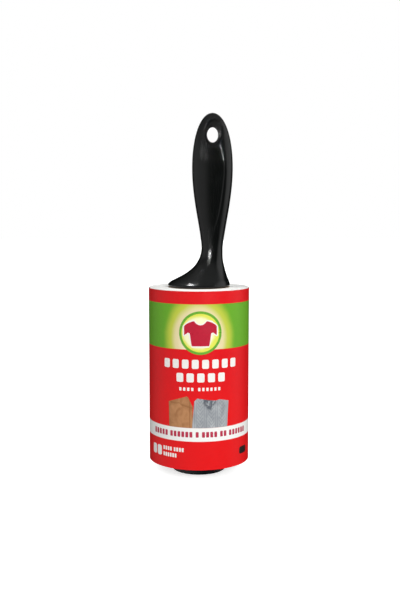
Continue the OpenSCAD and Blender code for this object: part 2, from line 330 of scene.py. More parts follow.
# inner radius and thickness of the wrap's paper, which keep the ink on it inside the CAD's wrap
WRAP_IN, WRAP_T = ROLL_R - 0.23, 0.16


def printed_paper(name):
    """The wrap's print: red ground, green band with a pale glow round the badge, white stripe."""
    s = Shader(name, Specular_IOR_Level=0.32)
    turn, far, z = s.polar()
    z = s.math("DIVIDE", z, MM)
    along = s.math("MULTIPLY", turn, ROLL_R * MM)
    mottle = s.between(s.noise(500, 5, 0.65), 0.3, 0.7)
    red = s.blend(mottle, RED, (0.66, 0.006, 0.010))
    red = s.blend(s.between(z, at(60), at(30), 0.0, 0.5, True), red, (0.78, 0.007, 0.007))
    # distance from the glow's middle, 1 at its edge
    across = s.math("DIVIDE", along, GLOW_WIDE * MM)
    up = s.math("DIVIDE", s.math("SUBTRACT", z, GLOW_Z), GLOW_TALL)
    glow = s.math("ADD", s.length(across, up), s.between(s.noise(90, 2, 0.5), 0.3, 0.7, -0.015, 0.015))
    green = s.blend(mottle, GREEN, (0.125, 0.37, 0.022))
    for start, full, colour in (
        (1.06, 0.78, (0.50, 0.56, 0.06)), (0.80, 0.62, (0.74, 0.64, 0.35)), (0.64, 0.36, (0.88, 0.76, 0.54)),
    ):
        green = s.blend(s.between(glow, start, full, 0.0, 1.0, True), green, colour)
    colour = red
    for (low, high), fill in ((BAND, green), (STRIPE_BAND, STRIPE)):
        above = s.between(z, low - EDGE_BLUR, low + EDGE_BLUR)
        below = s.between(z, high + EDGE_BLUR, high - EDGE_BLUR)
        colour = s.blend(s.math("MULTIPLY", above, below), colour, fill)
    # the inside of the wrap and its cut edges are bare paper
    bare = s.math("LESS_THAN", far, (WRAP_IN + WRAP_T / 2) * MM)
    s.set(Base_Color=s.blend(bare, colour, (0.84, 0.84, 0.82)))
    s.set(Roughness=s.between(s.noise(300, 3, 0.6), 0.3, 0.7, 0.30, 0.42))
    grain = s.bump(s.noise(1800, 3, 0.6), 0.25, 0.000012)
    s.set(Normal=s.bump(s.noise(30, 2, 0.5), 0.25, 0.0004, grain))
    return s.mat


HANDLE_BLACK = moulded_plastic(
    "handle_black_gloss", (0.0022, 0.0027, 0.0026), (0.0042, 0.0048, 0.0047), 0.15, 0.06
)
CAP_BLACK = moulded_plastic("cap_black_gloss", (0.006, 0.0065, 0.008), (0.010, 0.011, 0.013), 0.22, 0.08)
BARREL_BLACK = satin_plastic("barrel_black_satin", (0.011, 0.0115, 0.013), (0.019, 0.020, 0.022))
CORE_BOARD = board("core_kraft_board")
SHEET_WHITE = paper("sheet_white_paper")
WRAP_PRINT = printed_paper("wrap_print")

# ---------------------------------------------------------------- handle

FOOT_R = 18.05
NECK_L, NECK_R, NECK_DEPTH = 1.45, 13.85, 6.4
FOOT = np.array([
    # height above the foot's underside, left edge, right edge, half depth
    (0, -17.6, 17.6, 17.6),
    (0.5, -FOOT_R, FOOT_R, FOOT_R),
    (1.2, -18, 18.05, 18),
    (1.9, -17.45, 17.9, 17.5),
    (3, -15.9, 17.6, 16.6),
    (5.4, -11.1, 16.6, 14),
    (7.8, -7.1, 15.8, 11.6),
    (10.1, -4.2, 15.15, 9.7),
    (12.4, -2, 14.6, 8.3),
    (14.8, -0.5, 14.1, 7.3),
    (17.1, 0.55, 13.9, 6.7),
    (21.8, NECK_L, NECK_R, NECK_DEPTH),
])
FOOT_H = FOOT[-1, 0]
GRIP_X, GRIP_W, GRIP_DEPTH, TOP_DEPTH = 7.8, 23.5, 16.4, 11.2
NECK_Z = FOOT_Z + FOOT_H
WIDE_Z = HANDLE_TOP - 31.5
WIDE_UP = HANDLE_TOP - WIDE_Z
END_POWER = 2.12  # how square the grip's rounded end is: 2 is an ellipse
HOLE_Z = HANDLE_TOP - 12.4


def mix(a, b, s):
    return a + (b - a) * s


def ease(s):
    return 3 * s**2 - 2 * s**3


def curve(table, x, k):
    """Cubic through column k of a table. The last row is level."""
    t, v = table[:, 0], table[:, k]
    slope = np.zeros(len(t))
    slope[1:-1] = (v[2:] - v[:-2]) / (t[2:] - t[:-2])
    slope[0] = (v[1] - v[0]) / (t[1] - t[0])
    x = np.asarray(x, dtype=float)
    i = np.clip(np.searchsorted(t, x, side="right") - 1, 0, len(t) - 2)
    h = t[i + 1] - t[i]
    s = (x - t[i]) / h
    return (
        v[i] * (2 * s**3 - 3 * s**2 + 1)
        + slope[i] * h * (s**3 - 2 * s**2 + s)
        + v[i + 1] * (3 * s**2 - 2 * s**3)
        + slope[i + 1] * h * (s**3 - s**2)
    )


def swell(z):
    return ease(np.clip((z - NECK_Z) / (WIDE_Z - NECK_Z), 0, 1) ** 0.8)


def end_share(z):
    s = np.clip((z - WIDE_Z) / WIDE_UP, 0, 1)
    return (1 - s**END_POWER) ** (1 / END_POWER)


def outline(z):
    """(middle, half width, half depth) of the handle at level z."""
    z = np.asarray(z, dtype=float)
    low = z < NECK_Z
    left, right, deep = (curve(FOOT, np.minimum(z - FOOT_Z, FOOT_H), k) for k in (1, 2, 3))
    # the neck's middle stands a little left of the grip's and joins it 9 mm higher
    middle = GRIP_X - 0.15 * (1 - np.clip((z - NECK_Z) / 9, 0, 1))
    middle = np.where(low, (left + right) / 2, middle)
    width = mix(NECK_R - NECK_L, GRIP_W, swell(z)) / 2 * end_share(z)
    width = np.where(low, (right - left) / 2, width)
    thick = mix(NECK_DEPTH, GRIP_DEPTH / 2, swell(z))
    thick = mix(thick, TOP_DEPTH / 2, np.clip((z - WIDE_Z) / WIDE_UP, 0, 1))
    return middle, width, np.where(low, deep, thick * end_share(z) ** 0.62)


# side scoop with its crease, as shares of the half width from the scoop's bottom to its top
CREASE = np.array([
    (0, -0.16), (0.06, 0), (0.15, 0.16), (0.25, 0.33), (0.37, 0.42),
    (0.55, 0.49), (0.75, 0.54), (0.88, 0.49), (1, 0.32), (1.2, 0.1),
])
SCOOP_Z, SCOOP_TOP, SCOOP_DEPTH = NECK_Z + 5, HOLE_Z - 5.5, 1.15
# across the scoop: how far its floor rises to the left, then the wall of its crease and the brow past it
SCOOP_WIDE, WALL_WIDE, BROW_WIDE = 0.92, 0.075, 0.155
BROW = 0.22  # share of the scoop's depth by which the brow is lowered


def scoop(z, u):
    """Depth of the shallow channel under the hang hole, deepest just left of its crease."""
    s = (z - SCOOP_Z) / (SCOOP_TOP - SCOOP_Z)
    v = (curve(CREASE, np.clip(s, 0, 1.12), 1) - u) / SCOOP_WIDE
    fade = ease(np.clip(s * 2.2, 0, 1)) * ease(np.clip((1.14 - s) / 0.14, 0, 1))
    wall = mix(BROW, 1, ease(np.clip(1 + v / WALL_WIDE, 0, 1)))
    brow = BROW * np.clip((v + WALL_WIDE + BROW_WIDE) / BROW_WIDE, 0, 1) ** 1.3
    floor = ease(np.clip(1 - v, 0, 1))
    return SCOOP_DEPTH * fade * np.where(v < 0, np.where(v > -WALL_WIDE, wall, brow), floor)


# hang hole: throat ellipse and the mouth it flares to, each (x, z, half width, half height)
THROAT = np.array((GRIP_X + 0.05, HOLE_Z, 3.2, 4.45))
MOUTH = np.array((GRIP_X + 0.5, HOLE_Z + 0.7, 5.0, 7.4))
MOUTH_ROUND = 1.0  # rounding of the mouth's rim
THROAT_Y = 2.2  # depth of the throat's edge
LIP = 0.3  # rounding of the throat's edge


def flare_share(x, z):
    """0 on the throat's ellipse, 1 on the mouth's, found by halving for points between and beyond."""
    low, high = np.full(x.shape, -0.6), np.full(x.shape, 6.0)
    for _ in range(40):
        s = (low + high) / 2
        cx, cz, hx, hz = (mix(a, b, s) for a, b in zip(THROAT, MOUTH))
        out = ((x - cx) / hx) ** 2 + ((z - cz) / hz) ** 2 > 1
        low, high = np.where(out, s, low), np.where(out, high, s)
    return (low + high) / 2


def front_depth(x, z, deep):
    """Depth of the finished face in front of the parting plane, where the plain section is deep."""
    m, w, _ = outline(z)
    u = (x - m) / np.maximum(w, 1e-6)
    face = deep - scoop(z, u) * np.clip(1 - u**2, 0, 1)
    s = np.clip(flare_share(x, z), 0, 3)
    bowl = mix(THROAT_Y, face - MOUTH_ROUND, 0.42 * s + 0.58 * s**6)
    side, up = (x - MOUTH[0]) / MOUTH[2], (z - MOUTH[1]) / MOUTH[3]
    upright = up**2 / np.maximum(side**2 + up**2, 1e-9)
    step = mix(MOUTH[2] - THROAT[2], MOUTH[3] - THROAT[3], upright)
    out = np.clip((s - 1) * step, 0, MOUTH_ROUND)
    rounded = face - MOUTH_ROUND + np.sqrt(MOUTH_ROUND**2 - (MOUTH_ROUND - out) ** 2)
    return np.where(s < 1, bowl, rounded)


def face_depth(x, z):
    """Depth of the finished face at a point of the parting plane."""
    m, w, d = outline(z)
    u = np.clip((x - m) / np.maximum(w, 1e-6), -1, 1)
    return front_depth(x, z, d * np.sqrt(1 - u**2))


def section_angles():
    """Angles of one half section from its right edge to its left, closer together at both ends."""
    fine = np.radians([0, 1.0, 1.8, 3.2])
    middle = np.linspace(math.radians(5), math.pi - math.radians(5), 128)
    return np.concatenate([fine, middle, math.pi - fine[::-1]])


ANGLES = section_angles()


def half_rings(zs, wall=0.0):
    """Rows of (x, depth, z) of one half, right to left. A wall shrinks it square to the surface."""
    zs = np.asarray(zs, dtype=float)[:, None]
    m, w, d = outline(zs)
    if wall:
        rise = 0.2
        m2, w2, d2 = outline(zs + rise)
        lean = [np.hypot(1, step / rise) for step in (m2 - w2 - m + w, m2 + w2 - m - w, d2 - d)]
        left, right = m - w + wall * lean[0], m + w - wall * lean[1]
        m, w, d = (left + right) / 2, (right - left) / 2, d - wall * lean[2]
    x = m + w * np.cos(ANGLES)
    return x, d * np.sin(ANGLES), np.broadcast_to(zs, x.shape).copy()


# levels between which the rows are closer, for the hang hole and its mouth
HOLE_LOW, HOLE_HIGH = HOLE_Z - 10.5, HOLE_Z + 9.0


def handle_levels():
    """Levels of the grip's rows, closer where the shape turns faster."""
    foot = [0, 0.06, 0.14, 0.24, 0.36, 0.5, 0.65, 0.8, 1.0, 1.2, 1.4, 1.6, 1.8, 2.0, 2.3, 2.6, 3.0]
    rise = np.arange(3.5, FOOT_H, 0.6)
    grip = np.arange(NECK_Z, HOLE_LOW, 0.75)
    hole = np.arange(HOLE_LOW, HOLE_HIGH, 0.5)
    start = math.asin((HOLE_HIGH - WIDE_Z) / WIDE_UP)
    end = WIDE_Z + WIDE_UP * np.sin(np.linspace(start, math.radians(89.2), 18))
    return np.concatenate([FOOT_Z + np.array(foot), FOOT_Z + rise, grip, hole, end])


SEAM = 0.02  # half the gap between the two shells at the parting plane
SEAM_CHAMFER = 0.10
THROAT_CHAMFER, THROAT_CHAMFER_DEPTH = 0.08, 0.12
# block of the grid that the hang hole's patch replaces: its levels, and its share of the half width
PATCH_LOW, PATCH_HIGH, PATCH_SHARE = HOLE_Z - 8.8, HOLE_Z + 8.9, 0.70
FOOT_FLAT_R = 17.45


def half_shell():
    """Vertices and faces of one half of the grip, with depth from the parting plane as the second column."""
    verts, faces = [], []

    def add(points):
        start = len(verts)
        verts.extend(points)
        return start

    def strip(a, b, count):
        faces.extend((a + i, a + i + 1, b + i + 1, b + i) for i in range(count - 1))

    zs = handle_levels()
    x, deep, z = half_rings(zs)
    rows, cols = x.shape
    deep = front_depth(x, z, deep)
    deep[:, 0] = deep[:, -1] = SEAM
    deep = np.maximum(deep, SEAM)
    # the edge columns step in a little at the seam
    middle = outline(zs)[0]
    for k in (0, -1):
        x[:, k] -= SEAM_CHAMFER * np.sign(x[:, k] - middle)

    # the grid, without the block for the hang hole
    i0, i1 = (np.searchsorted(ANGLES, math.acos(share)) for share in (PATCH_SHARE, -PATCH_SHARE))
    j0, j1 = np.searchsorted(zs, (PATCH_LOW, PATCH_HIGH))
    start = add(np.stack([x, deep, z], axis=-1).reshape(-1, 3).tolist())
    for j in range(rows - 1):
        for i in range(cols - 1):
            if not (j0 <= j < j1 and i0 <= i < i1):
                a = start + j * cols + i
                faces.append((a, a + 1, a + cols + 1, a + cols))
    pole = add([(float(outline(HANDLE_TOP)[0]), SEAM, HANDLE_TOP)])
    last = start + (rows - 1) * cols
    faces.extend((last + i, last + i + 1, pole) for i in range(cols - 1))

    # patch from the block's rim to the throat
    rim = [(j0, i) for i in range(i0, i1)] + [(j, i1) for j in range(j0, j1)]
    rim += [(j1, i) for i in range(i1, i0, -1)] + [(j, i0) for j in range(j1, j0, -1)]
    ids = [start + j * cols + i for j, i in rim]
    px, pz = np.array([x[j, i] for j, i in rim]), np.array([z[j, i] for j, i in rim])
    turn = np.arctan2((pz - THROAT[1]) / THROAT[3], (px - THROAT[0]) / THROAT[2])
    cos, sin = np.cos(turn), np.sin(turn)

    def ellipse(grow):
        return THROAT[0] + (THROAT[2] + grow) * cos, THROAT[1] + (THROAT[3] + grow) * sin

    def loop(lx, ly, lz, previous):
        here = add(np.stack([lx, np.broadcast_to(ly, lx.shape), lz], axis=-1).tolist())
        count = len(previous)
        now = [here + k for k in range(count)]
        for k in range(count):
            after = (k + 1) % count
            faces.append((previous[k], previous[after], now[after], now[k]))
        return now

    ex, ez = ellipse(LIP)
    steps = 44
    for k in range(1, steps + 1):
        t = k / steps
        lx, lz = mix(px, ex, t), mix(pz, ez, t)
        ids = loop(lx, face_depth(lx, lz), lz, ids)
    floor = face_depth(ex, ez)
    for turn_in in np.radians((20, 40, 60, 80, 90)):
        lx, lz = ellipse(LIP * (1 - math.sin(turn_in)))
        ids = loop(lx, floor - LIP * (1 - math.cos(turn_in)), lz, ids)
    lx, lz = ellipse(0)
    low = floor - LIP
    for share in (0.75, 0.5, 0.25, 0):
        ids = loop(lx, THROAT_CHAMFER_DEPTH + (low - THROAT_CHAMFER_DEPTH) * share, lz, ids)
    lx, lz = ellipse(THROAT_CHAMFER)
    loop(lx, SEAM, lz, ids)

    # underside of the foot, recess over the flange, pocket of the spindle's plate, hollow inside
    previous = start
    for radius, level in (
        (FOOT_FLAT_R, FOOT_Z), (RECESS_R + 0.1, FOOT_Z), (RECESS_R, FOOT_Z + 0.1), (RECESS_R, SEAT_Z),
        (PLATE_R, SEAT_Z), (PLATE_R, SEAT_Z + PLATE_T),
    ):
        here = add([(radius * math.cos(a), max(radius * math.sin(a), SEAM), level) for a in ANGLES])
        strip(here, previous, cols)
        previous = here
    low, high = SEAT_Z + PLATE_T, HOLE_LOW
    hollow = [mix(low, high, (k / 24) ** 1.4) for k in range(25)]
    hx, hd, hz = half_rings(hollow, WALL)
    hd = np.maximum(hd, SEAM)
    hd[:, 0] = hd[:, -1] = SEAM
    for k in range(len(hollow)):
        here = add(np.stack([hx[k], hd[k], hz[k]], axis=-1).tolist())
        strip(here, previous, cols)
        previous = here
    top = add([(float(outline(high)[0]), SEAM, high)])
    faces.extend((previous + i + 1, previous + i, top) for i in range(cols - 1))
    return np.array(verts), faces


def close_seam(bm):
    """Fills the walls' cut at the parting plane: the triangles inside an odd number of its open loops."""
    bmesh.ops.dissolve_degenerate(bm, edges=bm.edges, dist=1e-7)
    edges = [e for e in bm.edges if len(e.link_faces) == 1]
    verts = list(dict.fromkeys(v for e in edges for v in e.verts))
    index = {v: k for k, v in enumerate(verts)}
    flat = [Vector((v.co.x, v.co.z)) / MM for v in verts]
    pairs = [(index[e.verts[0]], index[e.verts[1]]) for e in edges]
    _, _, faces, source, _, _ = delaunay_2d_cdt(flat, pairs, [], 0, 1e-5)
    a, b = (np.array([flat[pair[k]] for pair in pairs]) for k in (0, 1))
    for face in faces:
        ids = [source[k][0] for k in face]
        x, z = sum((flat[k] for k in ids), Vector((0, 0))) / 3
        crosses = (a[:, 1] > z) != (b[:, 1] > z)
        rise = np.where(crosses, b[:, 1] - a[:, 1], 1.0)
        right = a[:, 0] + (z - a[:, 1]) * (b[:, 0] - a[:, 0]) / rise > x
        if np.count_nonzero(crosses & right) % 2:
            bm.faces.new([verts[k] for k in ids])


def shell(name, side, node):
    """One half of the grip. side is -1 for the front and 1 for the rear."""
    verts, faces = HALF
    obj = new_object(name, verts * (1, side, 1), faces)
    finish_mesh(obj.data, 48, 1e-6, close_seam)
    obj.data.materials.append(HANDLE_BLACK)
    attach(obj, "handle")
    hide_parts(node)


HALF = half_shell()
shell("grip_shell_front", -1, "handle_front_shell")
shell("grip_shell_rear", 1, "handle_rear_shell")

# ---------------------------------------------------------------- wrap

# where the paper starts, its overlap past one turn, and the angles over which it climbs and lifts, in degrees
LAP_START, LAP, CLIMB, LIFT = 125, 16, 4, 3


def wrap_strip():
    """One turn of paper whose outer end laps over its start and stands off it a little."""
    turns = np.arange(LAP_START, LAP_START + 360 + LAP + 0.01, 1.0)
    over = turns - LAP_START - 360
    climb = ease(np.clip((over + CLIMB) / CLIMB, 0, 1)) * (WRAP_T + 0.005)
    lifted = np.clip((over - LAP + LIFT) / LIFT, 0, 1) * 0.01
    zs = np.linspace(WRAP_LOW[2], WRAP_HIGH[2], 24)
    loops = []
    for a, r in zip(np.radians(turns), WRAP_IN + climb + lifted):
        c, s = math.cos(a), math.sin(a)
        out = r + WRAP_T
        up = [(out * c, out * s, z) for z in zs]
        down = [(r * c, r * s, z) for z in zs[::-1]]
        loops.append(up + down)
    count = len(loops[0])
    verts = [p for loop in loops for p in loop]
    faces = grid_faces(len(loops), count, wrap=True)
    faces.append(tuple(range(count)))
    last = (len(loops) - 1) * count
    faces.append(tuple(last + k for k in reversed(range(count))))
    return verts, faces


wrap = link("printed_wrap_paper", *wrap_strip(), "refill", WRAP_PRINT, "wrap_print")
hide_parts("printed_wrap")

# ---------------------------------------------------------------- printed artwork on the wrap

ART_R = WRAP_IN + WRAP_T


def wrapped(points, radius):
    """Arc length and height on the wrap to a point in space. Arc 0 is the front, positive right."""
    a = points[:, 0] / ROLL_R
    return np.stack([radius * np.sin(a), -radius * np.cos(a), points[:, 1]], axis=-1)


class Art:
    """One sheet of ink made of patches that follow the wrap, each a thin closed skin."""

    def __init__(self, lift=0.03):
        self.verts, self.faces, self.low, self.high = [], [], ART_R - 0.05, ART_R + lift

    def patch(self, grid):
        """grid is rows of (arc, height) points."""
        grid = np.asarray(grid, dtype=float)
        rows, cols, _ = grid.shape
        flat = grid.reshape(-1, 2)
        start = len(self.verts)
        self.verts.extend(wrapped(flat, self.high).tolist())
        under = len(self.verts)
        self.verts.extend(wrapped(flat, self.low).tolist())
        top = grid_faces(rows, cols, start)
        self.faces.extend(top)
        self.faces.extend(tuple(v - start + under for v in reversed(f)) for f in top)
        rim = list(range(cols)) + [j * cols + cols - 1 for j in range(1, rows)]
        rim += [(rows - 1) * cols + i for i in range(cols - 2, -1, -1)]
        rim += [j * cols for j in range(rows - 2, 0, -1)]
        for a, b in zip(rim, rim[1:] + rim[:1]):
            self.faces.append((start + b, start + a, under + a, under + b))

    def columns(self, s, low, high, rows):
        """A shape with one lower and one upper edge, given at arc positions s."""
        s, low, high = (np.asarray(v, dtype=float) for v in (s, low, high))
        self.patch([np.stack([s, mix(low, high, k / rows)], axis=-1) for k in range(rows + 1)])

    def bar(self, s0, s1, z0, z1, radius):
        """A rectangle with rounded corners."""
        radius = min(radius, (s1 - s0) / 2, (z1 - z0) / 2)
        turn = np.linspace(0, math.pi / 2, 6)
        left = s0 + radius - radius * np.cos(turn)
        middle = np.linspace(s0 + radius, s1 - radius, max(2, int((s1 - s0) / 0.8)))[1:-1]
        s = np.concatenate([left, middle, s0 + s1 - left[::-1]])
        corner = radius - radius * np.sin(turn)
        inset = np.concatenate([corner, middle * 0, corner[::-1]])
        self.columns(s, z0 + inset, z1 - inset, 3)

    def ring(self, s, z, r0, r1, across):
        """A flat ring between two radii."""
        turn = np.linspace(0, 2 * math.pi, 91)
        self.patch([
            np.stack([s + r * np.cos(turn), z + r * np.sin(turn)], axis=-1)
            for r in np.linspace(r0, r1, across + 1)
        ])

    def words(self, s0, s1, z0, z1, counts, gap=0.7, space=2.0, radius=0.4):
        """Plain blocks in the place of words: counts says how many stand for each word."""
        total = sum(counts)
        room = (s1 - s0) - space * (len(counts) - 1) - gap * (total - len(counts))
        width, s = room / total, s0
        for count in counts:
            for _ in range(count):
                self.bar(s, s + width, z0, z1, radius)
                s += width + gap
            s += space - gap

    def make(self, name, material):
        link(name, self.verts, self.faces, "refill", material, "wrap_print")


WHITE_INK = ink("ink_white", (0.86, 0.84, 0.80), (0.80, 0.78, 0.75))
ROSE_INK = ink("ink_rose", (0.48, 0.035, 0.075))
DARK_INK = ink("ink_black", (0.012, 0.010, 0.010), (0.02, 0.017, 0.016))
CRIMSON_INK = ink("ink_crimson", (0.50, 0.010, 0.035))


def swatch(name, top, left, right, material, lift):
    """A printed picture with a bent top edge. left and right are its edges' arc places, low then high."""
    top = np.array(top, dtype=float)
    share = (top[:, 0] - top[0, 0]) / (top[-1, 0] - top[0, 0])
    across = np.linspace(0, 1, 37)
    high = at(np.interp(across, share, top[:, 1]))
    rows = []
    for k in np.linspace(0, 1, 13):
        s = mix(mix(*left, k), mix(*right, k), across)
        rows.append(np.stack([s, mix(SWATCH_LOW, high, k)], axis=-1))
    sheet = Art(lift)
    sheet.patch(rows)
    sheet.make(name, material)


def knitted(s, along, up, drape, colour, dark):
    """Cable knit: a plait down the middle of every column, ribs between, and a dark open neck on top."""
    pitch, strand_pitch, rib_pitch = 6.4, 2.1, 1.1
    column = s.math("DIVIDE", s.math("SUBTRACT", along, 3.9), pitch)
    side = s.math("ABSOLUTE", s.math("SUBTRACT", s.math("FRACT", column), 0.5))
    slant = s.math("ADD", up, s.math("MULTIPLY", side, -9.0))
    strand = s.math("SINE", s.math("MULTIPLY", slant, 2 * math.pi / strand_pitch))
    plait = s.math("MULTIPLY", s.between(strand, -0.2, -0.8), s.between(side, 0.30, 0.24))
    rib = s.math("SINE", s.math("MULTIPLY", along, 2 * math.pi / rib_pitch))
    rib = s.math("MULTIPLY", s.between(rib, 0.1, -0.9), s.between(side, 0.26, 0.34))
    colour = s.blend(s.math("MULTIPLY", s.math("MAXIMUM", plait, rib), 0.55), colour, dark)
    off = s.math("ABSOLUTE", s.math("SUBTRACT", along, 6.0))
    gap = s.math("ADD", off, s.math("MULTIPLY", up, -0.75))
    neck = s.between(gap, -6.0, -8.0, 0.0, 0.85, True)
    neck = s.math("MULTIPLY", neck, s.between(s.noise(0.8, 2, 0.5, drape), 0.40, 0.52))
    return s.blend(neck, colour, (0.075, 0.085, 0.105))


def woven(s, along, up, folds, colour, dark):
    """Twill: one fold across the top, a hem on the right, a shaded left edge and a diagonal weave."""
    bend = s.math("ADD", s.math("MULTIPLY", along, -0.22), s.math("MULTIPLY", folds, 4.0))
    crease = s.math("ABSOLUTE", s.math("SUBTRACT", s.math("SUBTRACT", up, 9.0), bend))
    hem = s.math("ABSOLUTE", s.math("ADD", along, 5.2))
    twill = s.math("SINE", s.math("MULTIPLY", s.math("ADD", along, up), 2 * math.pi / 0.6))
    for factor in (
        s.between(crease, 0.0, 0.8, 0.55, 0.0, True), s.between(hem, 0.15, 0.5, 0.5, 0.0),
        s.between(along, -18.0, -16.4, 0.45, 0.0), s.between(twill, -1.0, 1.0, 0.0, 0.12),
    ):
        colour = s.blend(factor, colour, dark)
    return colour


def cloth(name, dark, mid, light, knit):
    """Printed picture of folded cloth, knitted or woven."""
    s = Shader(name, Specular_IOR_Level=0.32)
    along, z = s.unrolled()
    up = s.math("SUBTRACT", z, SWATCH_LOW)
    drape = s.vector(along, s.math("MULTIPLY", up, 0.6))
    folds = s.noise(0.22, 2, 0.5, drape, 1.0)
    colour = s.blend(0.62, s.blend(s.between(folds, 0.36, 0.64), dark, light), mid)
    if knit:
        return s.print_over(knitted(s, along, up, drape, colour, dark))
    return s.print_over(woven(s, along, up, folds, colour, dark))


SWATCH_LOW = at(24.35)
TAN_CLOTH = cloth("print_tan_cloth", (0.24, 0.098, 0.036), (0.43, 0.20, 0.085), (0.56, 0.29, 0.135), False)
GREY_CLOTH = cloth("print_grey_cloth", (0.20, 0.215, 0.235), (0.35, 0.37, 0.385), (0.50, 0.525, 0.54), True)
swatch(
    "print_tan_fabric", [(-18.2, 38.7), (-7.0, 42.3), (-6.2, 42.0), (-3.6, 36.6)],
    (-17.9, -18.2), (-3.3, -3.6), TAN_CLOTH, 0.03,
)
swatch(
    "print_grey_fabric", [(-2.6, 39.6), (-0.8, 41.3), (5.0, 40.4), (9.5, 39.8), (12.0, 40.4), (17.8, 39.2)],
    (-3.9, -2.6), (16.9, 17.8), GREY_CLOTH, 0.05,
)

title = Art()
title.words(-21.2, 22.9, at(58.1), at(63.2), [8], 1.9, radius=0.9)
title.words(-13.0, 15.2, at(50.4), at(55.5), [5], 1.9, radius=0.9)
title.words(-11.3, 12.4, at(45.5), at(47.4), [4, 6], 1.0, 2.6, 0.25)
title.make("print_title_blocks", WHITE_INK)

slogan = Art(0.04)
slogan.words(-30.2, 31.8, at(18.9), at(22.1), [5, 6, 1, 4, 2, 6], 0.7, 1.9, 0.4)
slogan.make("print_stripe_blocks", ROSE_INK)

count_block = Art()
count_block.words(-32.4, -23.8, at(6.4), at(12.2), [2], 1.0, 0, 1.2)
count_block.words(-22.4, -8.8, at(10.2), at(12.5), [4, 4], 0.5, 1.3, 0.25)
count_block.words(-22.4, -13.2, at(6.6), at(8.9), [6], 0.5, 1.3, 0.25)
count_block.make("print_count_blocks", WHITE_INK)

BACK = math.pi * ROLL_R  # arc place of the middle of the back
LINE_PITCH = 4.3
back_panel = Art(0.02)
back_panel.bar(BACK - 21, BACK + 13, at(30), at(62), 1.5)
back_panel.make("print_back_panel", ink("ink_pale_panel", (0.80, 0.79, 0.75), (0.76, 0.75, 0.71)))
back_lines = Art(0.04)
for k, length in enumerate((26, 28, 23, 28, 25, 16)):
    back_lines.bar(BACK - 18, BACK - 18 + length, at(55.6 - LINE_PITCH * k), at(56.9 - LINE_PITCH * k), 0.4)
back_lines.make("print_back_lines", DARK_INK)
back_title = Art()
back_title.words(BACK - 19, BACK + 11, at(79.2), at(83.4), [7], 1.6, radius=0.7)
back_title.make("print_back_title_blocks", WHITE_INK)

mark = Art()
mark.bar(26.8, 34.2, at(6.2), at(10.4), 1.2)
mark.make("print_corner_block", DARK_INK)

# badge: a plain ringed disc with a shirt on it, its middle a little right of the front
BADGE_R, BADGE_S, BADGE_RIM = 12.2, 0.9, 1.2


def badge_paper(name):
    """Pale yellow, greener towards the ring."""
    s = Shader(name, Specular_IOR_Level=0.32)
    along, z = s.unrolled()
    near = s.length(along, s.math("SUBTRACT", z, BADGE_Z))
    near = s.math("ADD", near, s.between(s.noise(300, 3, 0.5), 0.3, 0.7, -0.3, 0.3))
    rim = s.between(near, 7.5, 10.2, 0.0, 1.0, True)
    return s.print_over(s.blend(rim, (0.88, 0.86, 0.55), (0.72, 0.74, 0.09)))


disc = Art(0.02)
disc.ring(BADGE_S, BADGE_Z, 0.02, BADGE_R - BADGE_RIM, 10)
disc.make("print_badge_disc", badge_paper("ink_pale_yellow"))
rim = Art(0.04)
rim.ring(BADGE_S, BADGE_Z, BADGE_R - BADGE_RIM - 0.2, BADGE_R, 2)
rim.make("print_badge_ring", ink("ink_green", (0.11, 0.36, 0.035), (0.16, 0.42, 0.03)))


def shirt(grow, lift, name, material):
    """A plain short-sleeved shirt, drawn in columns. grow widens it for the pale outline behind."""
    s = np.array([0, 1.2, 2.4, 3.2, 3.8, 4.6, 5.6, 6.6, 7.6, 8.6]) * 1.08
    top = np.array([3.9, 4.1, 4.9, 5.9, 5.9, 5.7, 5.35, 4.9, 4.3, 3.4]) * 1.12
    low = np.array([-6.6, -6.6, -6.6, -6.6, -6.6, -6.6, -0.1, 0.2, -0.5, -1.2]) * 1.12
    if grow:
        # past the sleeve's end, and past the body under it
        s = np.append(s, s[-1] + 0.01 + grow)
        top, low = np.append(top, top[-1] - 0.6), np.append(low, low[-1] + 0.6)
        s[6] += grow
    fine = np.linspace(0, s[-1], 60)
    top, low = np.interp(fine, s, top) + grow, np.interp(fine, s, low) - grow
    across, low, high = (
        np.concatenate([sign * half[:0:-1], half]) for sign, half in ((-1, fine), (1, low), (1, top))
    )
    sheet = Art(lift)
    sheet.columns(across + BADGE_S, low + BADGE_Z, high + BADGE_Z, 6)
    sheet.make(name, material)


shirt(0.75, 0.045, "print_shirt_outline", WHITE_INK)
shirt(0, 0.06, "print_shirt", CRIMSON_INK)

# ---------------------------------------------------------------- sheets, core, cap


def paint(name, material):
    """Gives a node that stays as the CAD made it its material."""
    for slot in frame["nodes"][name].material_slots:
        slot.material = material


def wound_sheets():
    """The wound sheets, whose edges stand at slightly different heights at both ends of the roll."""
    layers, margin, groove, inset, lip = 58, 0.03, 0.03, 0.015, 0.05
    pitch = (STACK_R - CORE_R - 2 * margin) / layers
    rng = np.random.default_rng(7)
    ends = [], []
    for k in range(layers):
        start = CORE_R + margin + k * pitch
        stop = start + pitch
        for side in (0, 1):
            drop = 0.02 + 0.10 * rng.random()
            ends[side].extend([
                (start + inset, drop + groove), (start + lip, drop), (stop - lip, drop),
                (stop - inset, drop + groove),
            ])
    low = [(r, ROLL_BOTTOM + d) for r, d in ends[0]]
    high = [(r, ROLL_TOP - d) for r, d in ends[1]]
    levels = np.linspace(ROLL_BOTTOM + 0.15, ROLL_TOP - 0.15, 8)
    outer = [(STACK_R, z) for z in levels]
    inner = [(CORE_R + 0.01, z) for z in levels[::-1]]
    return lathe(low + outer + high[::-1] + inner, 144)


stack = link("wound_sheets", *wound_sheets(), "refill", SHEET_WHITE, "sheet_paper")
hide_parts("sheet_stack")

